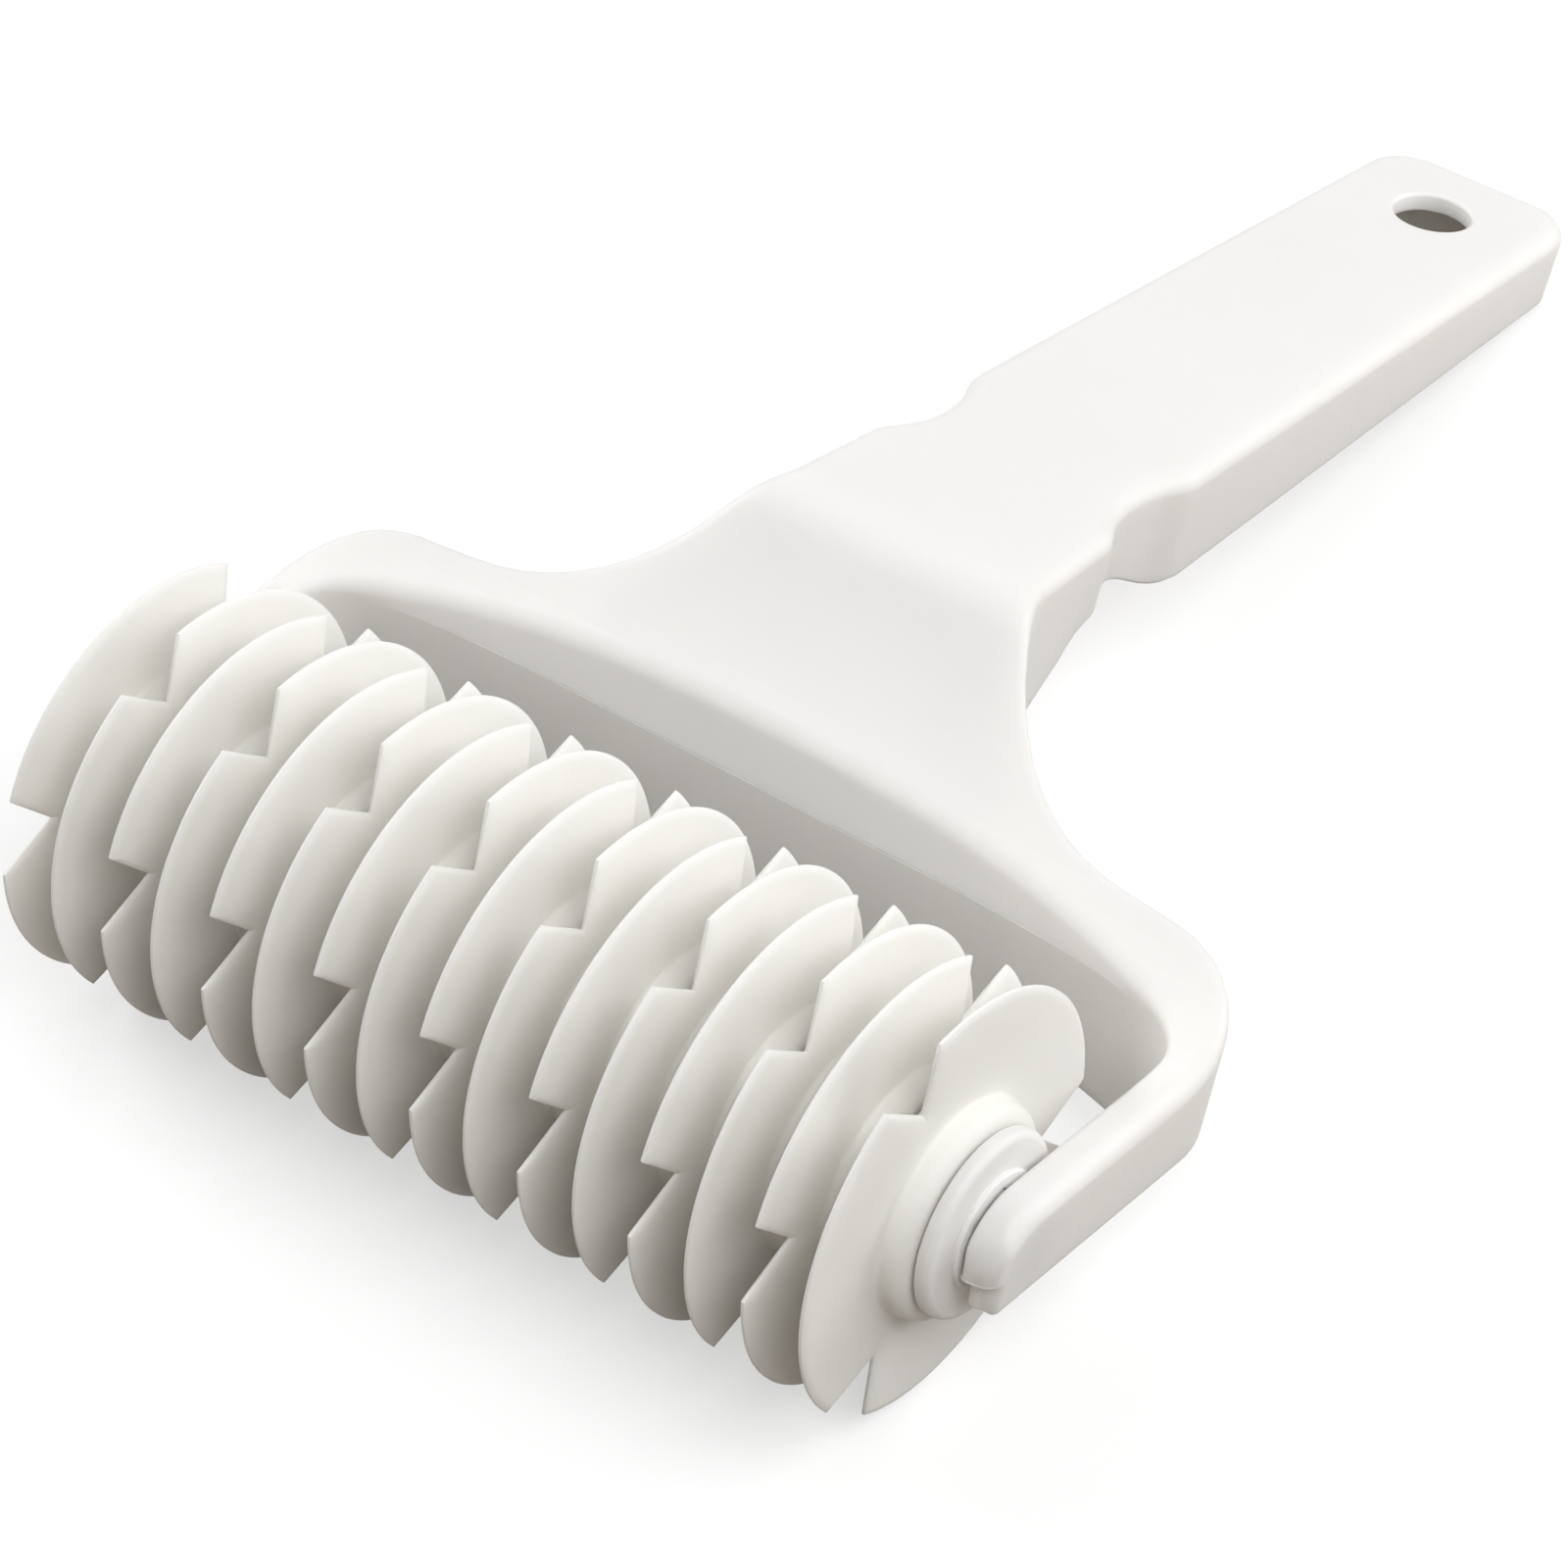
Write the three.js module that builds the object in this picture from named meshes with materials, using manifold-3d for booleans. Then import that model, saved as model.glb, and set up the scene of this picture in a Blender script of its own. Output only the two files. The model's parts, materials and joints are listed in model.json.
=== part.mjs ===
// Lattice roller cutter: notched cutting discs on a shaft that turns between the arms of a fork handle.
// Millimetres, +Z up. The tool lies as it is put down on a table, on its discs and on the end of its grip,
// with the grip towards +Y and the axle along X. The origin is on the table, under the middle of the tool.

import * as THREE from 'three';
import { mergeVertices } from 'three/addons/utils/BufferGeometryUtils.js';
import Module from 'manifold-3d';

// Cutting discs
const DISC_COUNT = 16;
const DISC_PITCH = 6.7;
const DISC_RADIUS = 22.7;
const BLADE_THICKNESS = 1.0;
const RIM_THICKNESS = 0.5;
const RIM_BEVEL = 1.1;
const NOTCH_COUNT = 3;
const NOTCH_DEPTH = 6.8;
const NOTCH_WIDTH = 8.6;
const HUB_RADIUS = 11.5;
const HUB_SHOULDER = 1.5;
const HUB_FACE_GAP = 0.3;
const ROLLER_TURN_DEGREES = 4.9;

// Axle shaft and end caps
const SHAFT_ACROSS_FLATS = 8;
const SHAFT_FIT = 0.3;
const JOURNAL_RADIUS = 3;
const JOURNAL_FIT = 0.3;
const CAP_FLANGE_LENGTH = 1.9;
const CAP_FLANGE_ROUND = 0.8;
const CAP_BOSS_RADIUS = 6.3;
const CAP_BOSS_LENGTH = 0.5;

// Fork arms and crossbar
const ARM_CLEARANCE = 0.4;
const ARM_THICKNESS = 4.4;
const ARM_HEIGHT = 11.3;
const SOCKET_WALL = 1.4;
const FRONT_CLEARANCE = 9.5;
const FRONT_BOW = 5;
const INNER_CORNER = 6.5;
const SKIRT_DEPTH = 4.6;
const SKIRT_WALL = 1.1;
const CROSSBAR_DEPTH = 7.6;
const SHOULDER_LENGTH = 11.5;
const SHOULDER_DROP = 0.5;

// Neck and grip
const RAMP_LENGTH = 32.5;
const NECK_LENGTH = 15.5;
const NECK_WIDTH = 32.8;
const NECK_FRONT_WIDTH = 31.4;
const HANDLE_RISE = 26.9;
const CREASE_BLEND = 4;
const SCALLOP_DISTANCE = 26.7;
const SCALLOP_WIDTH = 25.4;
const SCALLOP_LENGTH = 19.4;
const GRIP_LENGTH = 123;
const GRIP_WIDTH = 29.8;
const GRIP_END_WIDTH = 26.6;
const GRIP_END_CORNER = 6;
const GRIP_FALL = 2.9;
const GRIP_DEPTH = 14;
const GRIP_END_DEPTH = 9.9;
const FINGER_ARCH = 3.4;
const SHELL_WALL = 2.2;
const WALL_DRAFT = 0.8;
const HANGING_HOLE_RADIUS = 4.7;
const HANGING_HOLE_INSET = 13;

// Rounding of the top edges
const OUTER_FILLET = 2.2;
const REAR_FILLET = 1;
const FRONT_FILLET = 1.8;
const ARM_INNER_FILLET = 0.7;

// Facets of the round forms
const RIM_SEGMENTS = 42;
const HUB_SEGMENTS = 24;
const CURVE_STEPS = 8;
const SIDE_STEPS = 6;
const FILLET_STEPS = 3;
const CLEAR_OF_POINTS = 0.05;

// Places that follow from the sizes, with the axle at the origin and the grip along +Y
const ROLLER_HALF = (DISC_COUNT * DISC_PITCH) / 2;
const CAP_LENGTH = CAP_FLANGE_LENGTH + CAP_BOSS_LENGTH;
const SHAFT_HALF = ROLLER_HALF + CAP_LENGTH;
const ARM_INNER_X = SHAFT_HALF + ARM_CLEARANCE;
const ARM_OUTER_X = ARM_INNER_X + ARM_THICKNESS;
const SOCKET_DEPTH = ARM_THICKNESS - SOCKET_WALL;
const SHAFT_HEX_RADIUS = SHAFT_ACROSS_FLATS / Math.sqrt(3);
const NOSE_RADIUS = ARM_HEIGHT / 2;
const FRONT_Y = DISC_RADIUS + FRONT_CLEARANCE;
const REAR_Y = FRONT_Y + CROSSBAR_DEPTH;
const CREASE_Y = REAR_Y + NECK_LENGTH;
const SCALLOP_Y = CREASE_Y + SCALLOP_DISTANCE;
const GRIP_END_Y = CREASE_Y + GRIP_LENGTH;
const GRIP_END_TOP = HANDLE_RISE - GRIP_FALL;
const GRIP_END_BOTTOM = GRIP_END_TOP - GRIP_END_DEPTH;
const HOLE_Y = GRIP_END_Y - HANGING_HOLE_INSET;

const wasm = await Module();
wasm.setup();

const point = (x, y) => new THREE.Vector2(x, y);

function solid(geometry) {
  const bare = geometry.clone();
  bare.deleteAttribute('normal');
  bare.deleteAttribute('uv');
  const merged = mergeVertices(bare);
  const corners = merged.index.array;
  const kept = [];
  for (let i = 0; i < corners.length; i += 3) {
    const [a, b, c] = corners.slice(i, i + 3);
    if (a !== b && b !== c && c !== a) kept.push(a, b, c);
  }
  const vertProperties = merged.attributes.position.array;
  return new wasm.Manifold(new wasm.Mesh({ numProp: 3, vertProperties, triVerts: Uint32Array.from(kept) }));
}

function geometryOf(body) {
  const mesh = body.getMesh();
  const geometry = new THREE.BufferGeometry();
  geometry.setAttribute('position', new THREE.BufferAttribute(mesh.vertProperties, 3));
  geometry.setIndex(new THREE.BufferAttribute(mesh.triVerts, 1));
  geometry.computeVertexNormals();
  return geometry;
}

// A body turned about the X axis, from (radius, x) points that start and end on the axis
function turned(profile, segments) {
  const points = profile.map(([radius, x]) => point(radius, x));
  return solid(new THREE.LatheGeometry(points, segments).rotateZ(-Math.PI / 2));
}

// A straight bar along X, round or with few sides, from one x to another
function bar(radius, sides, fromX, toX) {
  const geometry = new THREE.CylinderGeometry(radius, radius, toX - fromX, sides);
  return solid(geometry.rotateZ(-Math.PI / 2).translate((fromX + toX) / 2, 0, 0));
}

// Cutting disc: a thin blade with a bevelled rim and V notches, moulded with a hub on each side
function cuttingDisc() {
  const half = BLADE_THICKNESS / 2;
  const rimHalf = RIM_THICKNESS / 2;
  const bevelRadius = DISC_RADIUS - RIM_BEVEL;
  let disc = turned([
    [0, -half],
    [bevelRadius, -half],
    [DISC_RADIUS, -rimHalf],
    [DISC_RADIUS, rimHalf],
    [bevelRadius, half],
    [0, half],
  ], RIM_SEGMENTS);
  for (let i = 0; i < NOTCH_COUNT; i++) {
    disc = disc.subtract(notch((i * 2 * Math.PI) / NOTCH_COUNT));
  }
  const hubHalf = (DISC_PITCH - HUB_FACE_GAP) / 2;
  const hub = turned([
    [0, -hubHalf],
    [HUB_RADIUS - HUB_SHOULDER, -hubHalf],
    [HUB_RADIUS, HUB_SHOULDER - hubHalf],
    [HUB_RADIUS, hubHalf - HUB_SHOULDER],
    [HUB_RADIUS - HUB_SHOULDER, hubHalf],
    [0, hubHalf],
  ], HUB_SEGMENTS);
  const bore = bar(SHAFT_HEX_RADIUS + SHAFT_FIT, 6, -DISC_PITCH, DISC_PITCH);
  return geometryOf(disc.add(hub).subtract(bore));
}

// V notch that opens towards -Y before it is turned: its flanks leave the apex and run out past the rim
function notch(turn) {
  const overcut = 1.5;
  const apexY = DISC_RADIUS - NOTCH_DEPTH;
  const mouthHalf = NOTCH_WIDTH / 2;
  const mouthY = Math.sqrt(DISC_RADIUS ** 2 - mouthHalf ** 2);
  const reachY = apexY + overcut * (mouthY - apexY);
  const shape = new THREE.Shape([
    point(0, -apexY),
    point(-overcut * mouthHalf, -reachY),
    point(overcut * mouthHalf, -reachY),
  ]);
  const depth = 2 * BLADE_THICKNESS;
  const geometry = new THREE.ExtrudeGeometry(shape, { depth, bevelEnabled: false });
  return solid(geometry.translate(0, 0, -depth / 2).rotateY(Math.PI / 2).rotateX(turn));
}

// End cap: a flange against the last hub and a smaller boss that runs beside the arm
function endCap() {
  const flangeRadius = HUB_RADIUS - HUB_SHOULDER;
  const cap = turned([
    [0, HUB_FACE_GAP / 2],
    [flangeRadius, HUB_FACE_GAP / 2],
    [flangeRadius, CAP_FLANGE_LENGTH - CAP_FLANGE_ROUND],
    [flangeRadius - CAP_FLANGE_ROUND, CAP_FLANGE_LENGTH],
    [CAP_BOSS_RADIUS, CAP_FLANGE_LENGTH],
    [CAP_BOSS_RADIUS, CAP_LENGTH],
    [0, CAP_LENGTH],
  ], HUB_SEGMENTS);
  return geometryOf(cap.subtract(bar(SHAFT_HEX_RADIUS + SHAFT_FIT, 6, -CAP_LENGTH, 2 * CAP_LENGTH)));
}

// Axle shaft: a hexagonal bar that keys the discs, with a round journal at each end
function axleShaft() {
  const journalHalf = ARM_INNER_X + SOCKET_DEPTH - JOURNAL_FIT;
  const hexBar = bar(SHAFT_HEX_RADIUS, 6, -SHAFT_HALF, SHAFT_HALF);
  return geometryOf(hexBar.add(bar(JOURNAL_RADIUS, HUB_SEGMENTS, -journalHalf, journalHalf)));
}

// Plan outline of the fork handle's right side, from the grip's end to the middle of the crossbar's front.
// Each stretch carries the rounding of its top edge, how far its wall draws in towards the foot, and its
// share of the thin skirt that hangs from the crossbar's front, behind the roller.
function rightSide() {
  const outline = gripSide(0).map(({ x, y }) => ({ x, y, fillet: OUTER_FILLET, draft: WALL_DRAFT, skirt: 0 }));
  const follow = (curve, steps, endFillet, endDraft = WALL_DRAFT, endSkirt = 0) => {
    const start = outline.at(-1);
    for (let i = 1; i <= steps; i++) {
      const { x, y } = curve.getPoint(i / steps);
      const fillet = THREE.MathUtils.lerp(start.fillet, endFillet, i / steps);
      const draft = THREE.MathUtils.lerp(start.draft, endDraft, i / steps);
      const skirt = THREE.MathUtils.lerp(start.skirt, endSkirt, i / steps);
      outline.push({ x, y, fillet, draft, skirt });
    }
  };
  const neck = point(NECK_WIDTH / 2, CREASE_Y + CREASE_BLEND);
  const flankEnd = point(ARM_OUTER_X - 1.6 * SHOULDER_LENGTH, REAR_Y);
  const shoulder = point(ARM_OUTER_X - SHOULDER_LENGTH, REAR_Y - SHOULDER_DROP);
  const armRear = point(ARM_OUTER_X, REAR_Y - 1.1 * SHOULDER_LENGTH);
  const corner = point(ARM_INNER_X - INNER_CORNER, FRONT_Y);
  const frontMiddle = point(0, FRONT_Y + FRONT_BOW);
  follow(new THREE.CubicBezierCurve(
    neck,
    point(neck.x + 0.1 * NECK_LENGTH, CREASE_Y - 0.16 * NECK_LENGTH),
    point(neck.x + 0.4 * (flankEnd.x - neck.x), REAR_Y + 0.07 * NECK_LENGTH),
    flankEnd,
  ), CURVE_STEPS, REAR_FILLET);
  follow(new THREE.LineCurve(flankEnd, shoulder), 1, REAR_FILLET);
  follow(new THREE.CubicBezierCurve(
    shoulder,
    point(shoulder.x + 0.6 * SHOULDER_LENGTH, shoulder.y - SHOULDER_DROP),
    point(armRear.x, armRear.y + 0.64 * SHOULDER_LENGTH),
    armRear,
  ), CURVE_STEPS, OUTER_FILLET);
  const noseOuter = point(ARM_OUTER_X, -NOSE_RADIUS);
  const noseInner = point(ARM_INNER_X, -NOSE_RADIUS);
  const cornerStart = point(ARM_INNER_X, FRONT_Y - INNER_CORNER);
  follow(new THREE.LineCurve(armRear, noseOuter), 1, OUTER_FILLET);
  follow(new THREE.LineCurve(noseOuter, noseInner), 1, ARM_INNER_FILLET, 0);
  follow(new THREE.LineCurve(noseInner, cornerStart), 1, ARM_INNER_FILLET, 0);
  follow(new THREE.CubicBezierCurve(
    cornerStart,
    point(ARM_INNER_X, FRONT_Y - 0.4 * INNER_CORNER),
    point(corner.x + 0.5 * INNER_CORNER, FRONT_Y - 0.18 * INNER_CORNER),
    corner,
  ), CURVE_STEPS / 2, FRONT_FILLET, WALL_DRAFT, 1);
  follow(new THREE.CubicBezierCurve(
    corner,
    point(0.8 * corner.x, FRONT_Y + 0.48 * FRONT_BOW),
    point(0.6 * corner.x, frontMiddle.y),
    frontMiddle,
  ), CURVE_STEPS, FRONT_FILLET, WALL_DRAFT, 1);
  return outline;
}

// The grip's right side from the middle of its end to the neck, drawn in by an inset
function gripSide(inset) {
  const endY = GRIP_END_Y - inset;
  const endHalf = GRIP_END_WIDTH / 2 - inset;
  const cornerRadius = GRIP_END_CORNER - inset;
  const rear = point(GRIP_WIDTH / 2 - inset, SCALLOP_Y + SCALLOP_LENGTH / 2);
  const bottom = point(SCALLOP_WIDTH / 2 - inset, SCALLOP_Y);
  const front = point(NECK_FRONT_WIDTH / 2 - inset, SCALLOP_Y - SCALLOP_LENGTH / 2);
  const reach = 0.3 * SCALLOP_LENGTH;
  const path = new THREE.Path();
  path.moveTo(0, endY);
  path.lineTo(endHalf - cornerRadius, endY);
  path.absarc(endHalf - cornerRadius, endY - cornerRadius, cornerRadius, Math.PI / 2, 0, true);
  path.lineTo(rear.x, rear.y);
  path.bezierCurveTo(rear.x, rear.y - reach / 2, bottom.x, bottom.y + reach, bottom.x, bottom.y);
  path.bezierCurveTo(bottom.x, bottom.y - reach, front.x, front.y + reach / 2, front.x, front.y);
  path.lineTo(NECK_WIDTH / 2 - inset, CREASE_Y + CREASE_BLEND);
  return path.getPoints(CURVE_STEPS / 2);
}

// Plan outline of the hollow under the grip and neck, right side
function hollowSide() {
  const outline = gripSide(SHELL_WALL);
  const neck = outline.at(-1);
  const frontY = FRONT_Y + FRONT_BOW + SHELL_WALL;
  const corner = point(neck.x + 0.8 * NECK_LENGTH, REAR_Y + 0.4 * CROSSBAR_DEPTH);
  const flank = new THREE.CubicBezierCurve(
    neck,
    point(neck.x + 0.1 * NECK_LENGTH, CREASE_Y - 0.16 * NECK_LENGTH),
    point(neck.x + 0.4 * NECK_LENGTH, corner.y + SHELL_WALL),
    corner,
  );
  const frontCorner = point(corner.x - SHELL_WALL, frontY);
  return [...outline, ...flank.getPoints(CURVE_STEPS / 2).slice(1), frontCorner, point(0, frontY)];
}

// Side view of the fork handle, as (y, z) lines: the top runs from the round nose along the arm, up the
// ramp to the crease and along the grip. The underside follows below it, with a hollow for the forefinger.
function topLine() {
  const bend = point(CREASE_Y - 0.6 * RAMP_LENGTH, NOSE_RADIUS);
  const crease = point(CREASE_Y, HANDLE_RISE);
  const rampEnd = bend.clone().sub(crease).setLength(CREASE_BLEND).add(crease);
  const path = new THREE.Path();
  path.moveTo(-NOSE_RADIUS, 0);
  path.quadraticCurveTo(-NOSE_RADIUS, NOSE_RADIUS, 0, NOSE_RADIUS);
  path.lineTo(CREASE_Y - RAMP_LENGTH, NOSE_RADIUS);
  path.quadraticCurveTo(bend.x, bend.y, rampEnd.x, rampEnd.y);
  path.quadraticCurveTo(crease.x, crease.y, CREASE_Y + CREASE_BLEND, HANDLE_RISE);
  path.lineTo(GRIP_END_Y, GRIP_END_TOP);
  return path.getPoints(SIDE_STEPS);
}

function bottomLine() {
  const gripBottom = HANDLE_RISE - GRIP_DEPTH;
  const belly = point(CREASE_Y + 0.415 * SCALLOP_DISTANCE, gripBottom);
  const archTop = point(SCALLOP_Y - 0.25 * SCALLOP_LENGTH, gripBottom + FINGER_ARCH);
  const archEnd = point(SCALLOP_Y + 0.42 * SCALLOP_LENGTH, gripBottom - 0.03 * GRIP_DEPTH);
  const reach = 0.15 * SCALLOP_LENGTH;
  const path = new THREE.Path();
  path.moveTo(-NOSE_RADIUS, -0.6 * NOSE_RADIUS);
  path.quadraticCurveTo(-NOSE_RADIUS, -NOSE_RADIUS, -0.4 * NOSE_RADIUS, -NOSE_RADIUS);
  path.lineTo(FRONT_Y - 0.3 * INNER_CORNER, -NOSE_RADIUS);
  path.bezierCurveTo(
    REAR_Y + 0.1 * NECK_LENGTH, -NOSE_RADIUS,
    belly.x - 0.3 * SCALLOP_DISTANCE, belly.y - 0.3 * GRIP_DEPTH,
    belly.x, belly.y,
  );
  path.bezierCurveTo(
    belly.x + 0.75 * reach, belly.y + 0.4 * FINGER_ARCH,
    archTop.x - 2.9 * reach, archTop.y,
    archTop.x, archTop.y,
  );
  path.bezierCurveTo(
    archTop.x + 2.1 * reach, archTop.y,
    archEnd.x - 1.4 * reach, archEnd.y - 0.07 * GRIP_DEPTH,
    archEnd.x, archEnd.y,
  );
  path.lineTo(GRIP_END_Y, GRIP_END_BOTTOM);
  return path.getPoints(SIDE_STEPS);
}

// Height of a side-view line at one y
function heightAt(line, y) {
  const next = Math.max(1, line.findIndex((p) => p.x >= y));
  const [a, b] = [line[next - 1], line[next]];
  return THREE.MathUtils.mapLinear(THREE.MathUtils.clamp(y, a.x, b.x), a.x, b.x, a.y, b.y);
}

// Direction from an outline point into the body, long enough to keep the inset even round a corner
function inwardAt(outline, i) {
  const p = outline[i];
  const before = outline[i - 1] ?? { x: -outline[i + 1].x, y: outline[i + 1].y };
  const after = outline[i + 1] ?? { x: -before.x, y: before.y };
  const a = point(p.y - before.y, before.x - p.x).normalize();
  const b = point(after.y - p.y, p.x - after.x).normalize();
  const between = a.clone().add(b).normalize();
  return between.divideScalar(between.dot(a));
}

// Places where the side view bends, in order, each moved clear of the plan points it would almost touch
function clearBends(lines, taken) {
  const bends = [];
  for (const { x } of lines.sort((p, q) => p.x - q.x)) {
    let y = x;
    while (taken.some((other) => Math.abs(other - y) < CLEAR_OF_POINTS)) y += CLEAR_OF_POINTS;
    if (!(y - bends.at(-1) < CLEAR_OF_POINTS)) bends.push(y);
  }
  return bends;
}

// Faces that close the band between two rows of points, going on to the nearer next point each time
function band(lower, upper) {
  const faces = [];
  let [low, high] = [0, 0];
  while (low + high < lower.length + upper.length - 2) {
    const climb = (upper[high + 1]?.t ?? Infinity) <= (lower[low + 1]?.t ?? Infinity);
    const next = climb ? upper[high + 1] : lower[low + 1];
    const face = [lower[low].at, upper[high].at, next.at];
    if (face.every((p, k) => !p.equals(face[(k + 1) % 3]))) faces.push(face);
    if (climb) high += 1;
    else low += 1;
  }
  return faces;
}

// A moulding that is alike on both sides of the middle line, from the plan outline of its right side.
// Its top and foot follow the side view, its walls draw in towards the foot, and its top edges are rounded.
function moulding(outline, topDrop, footDrop) {
  const top = topLine();
  const bottom = bottomLine();
  const topAt = (y) => heightAt(top, y) - topDrop;
  const footAt = (y) => heightAt(bottom, y) - footDrop;
  const corners = outline.map(({ x, y, fillet = 0, draft = 0, skirt = 0 }, i) => {
    const inward = inwardAt(outline, i);
    const foot = point(x, y).addScaledVector(inward, draft);
    const lip = point(x, y).addScaledVector(inward, draft + SKIRT_WALL * skirt);
    const crest = point(x, y).addScaledVector(inward, fillet);
    return { x, y, fillet, skirt, foot, lip, crest };
  });
  const bends = clearBends([...top, ...bottom], corners.flatMap((p) => [p.y, p.foot.y, p.lip.y, p.crest.y]));
  const crossings = (fromY, toY) => bends
    .map((y) => (y - fromY) / (toY - fromY))
    .filter((t) => t > 0 && t < 1)
    .sort((t, u) => t - u);

  const half = [];
  const foot = [];
  const crest = [];
  corners.slice(1).forEach((q, i) => {
    const p = corners[i];
    const onEdge = (t, angle) => {
      const outer = point(p.x, p.y).lerp(q, t);
      const { x, y } = p.crest.clone().lerp(q.crest, t).lerp(outer, Math.cos(angle));
      const drop = THREE.MathUtils.lerp(p.fillet, q.fillet, t) * (1 - Math.sin(angle));
      return { t, at: new THREE.Vector3(x, y, topAt(y) - drop) };
    };
    const onFoot = (ring, depth) => [0, ...crossings(p[ring].y, q[ring].y), 1].map((t) => {
      const { x, y } = p[ring].clone().lerp(q[ring], t);
      return { t, at: new THREE.Vector3(x, y, footAt(y) - depth * THREE.MathUtils.lerp(p.skirt, q.skirt, t)) };
    });
    const rings = [onFoot('lip', 0), onFoot('lip', SKIRT_DEPTH), onFoot('foot', SKIRT_DEPTH)];
    const places = [0, ...crossings(p.y, q.y), 1];
    const steps = p.fillet ? FILLET_STEPS : 0;
    for (let step = 0; step < steps; step++) {
      rings.push(places.map((t) => onEdge(t, (step / steps) * (Math.PI / 2))));
    }
    rings.push([0, ...crossings(p.crest.y, q.crest.y), 1].map((t) => onEdge(t, Math.PI / 2)));
    rings.slice(1).forEach((upper, level) => half.push(...band(rings[level], upper)));
    foot.push(...rings[0].slice(i ? 1 : 0).map(({ at }) => at));
    crest.push(...rings.at(-1).slice(i ? 1 : 0).map(({ at }) => at));
  });

  const cap = (edge, heightAtY) => {
    const onSpine = bends.filter((y) => y > edge.at(-1).y && y < edge[0].y);
    const loop = [...edge, ...onSpine.map((y) => new THREE.Vector3(0, y, heightAtY(y)))];
    return [...bends, Infinity].flatMap((far, i) => {
      const near = bends[i - 1] ?? -Infinity;
      const margin = CLEAR_OF_POINTS / 2;
      const strip = loop.filter(({ y }) => y > near - margin && y < far + margin);
      const faces = strip.length > 2 ? THREE.ShapeUtils.triangulateShape(strip, []) : [];
      return faces.map((face) => face.map((k) => strip[k]));
    });
  };
  half.push(...cap(crest, topAt), ...cap(foot, footAt).map((face) => face.reverse()));
  const mirror = half.map((face) => face.map(({ x, y, z }) => new THREE.Vector3(-x, y, z)).reverse());
  return solid(new THREE.BufferGeometry().setFromPoints([...half, ...mirror].flat()));
}

// Fork handle: one moulding, hollow from below under the grip and neck, with a blind socket in each arm
function forkHandle() {
  let body = moulding(rightSide(), 0, 0);
  body = body.subtract(moulding(hollowSide(), SHELL_WALL, ARM_HEIGHT));
  const socketRadius = JOURNAL_RADIUS + JOURNAL_FIT;
  const socketEnd = ARM_INNER_X + SOCKET_DEPTH;
  body = body.subtract(bar(socketRadius, HUB_SEGMENTS, ROLLER_HALF, socketEnd));
  body = body.subtract(bar(socketRadius, HUB_SEGMENTS, -socketEnd, -ROLLER_HALF));
  const radius = HANGING_HOLE_RADIUS;
  const hole = new THREE.CylinderGeometry(radius, radius, HANDLE_RISE, HUB_SEGMENTS).rotateX(Math.PI / 2);
  body = body.subtract(solid(hole.translate(0, HOLE_Y, GRIP_END_TOP)));
  return geometryOf(body);
}

function piece(name, geometry, color, roughness) {
  const material = new THREE.MeshStandardMaterial({ color, roughness, metalness: 0 });
  const mesh = new THREE.Mesh(geometry, material);
  mesh.name = name;
  return mesh;
}

const IVORY_PLASTIC = 0xece8e1;
const WHITE_PLASTIC = 0xf3f1ef;

// The roller: discs keyed on the shaft, each turned half a notch spacing from the one before
const roller = new THREE.Group();
const discGeometry = cuttingDisc();
for (let i = 0; i < DISC_COUNT; i++) {
  const disc = piece(`cutting_disc_${String(i + 1).padStart(2, '0')}`, discGeometry, IVORY_PLASTIC, 0.45);
  disc.position.x = (i - (DISC_COUNT - 1) / 2) * DISC_PITCH;
  disc.rotation.x = -(i % 2) * (Math.PI / NOTCH_COUNT);
  roller.add(disc);
}
roller.add(piece('axle_shaft', axleShaft(), WHITE_PLASTIC, 0.5));
const rightCap = piece('right_end_cap', endCap(), WHITE_PLASTIC, 0.45);
rightCap.position.x = ROLLER_HALF;
const leftCap = piece('left_end_cap', endCap(), WHITE_PLASTIC, 0.45);
leftCap.position.x = -ROLLER_HALF;
leftCap.rotation.y = Math.PI;
roller.add(rightCap, leftCap);
roller.rotation.x = -THREE.MathUtils.degToRad(ROLLER_TURN_DEGREES);

// The tool tips back until the grip's end meets the table that the discs stand on
const tool = new THREE.Group();
tool.add(roller, piece('fork_handle', forkHandle(), WHITE_PLASTIC, 0.4));
const endFoot = point(GRIP_END_Y - WALL_DRAFT, GRIP_END_BOTTOM);
tool.rotation.x = -endFoot.angle() - Math.asin(DISC_RADIUS / endFoot.length());

const latticeRollerCutter = new THREE.Group();
latticeRollerCutter.add(tool);
const box = new THREE.Box3().setFromObject(latticeRollerCutter, true);
const middle = box.getCenter(new THREE.Vector3());
tool.position.set(-middle.x, -middle.y, -box.min.z);

export default latticeRollerCutter;
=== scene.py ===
import json
import math

import bmesh
import bpy
from mathutils import Matrix, Vector
from mathutils.geometry import tessellate_polygon


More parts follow.
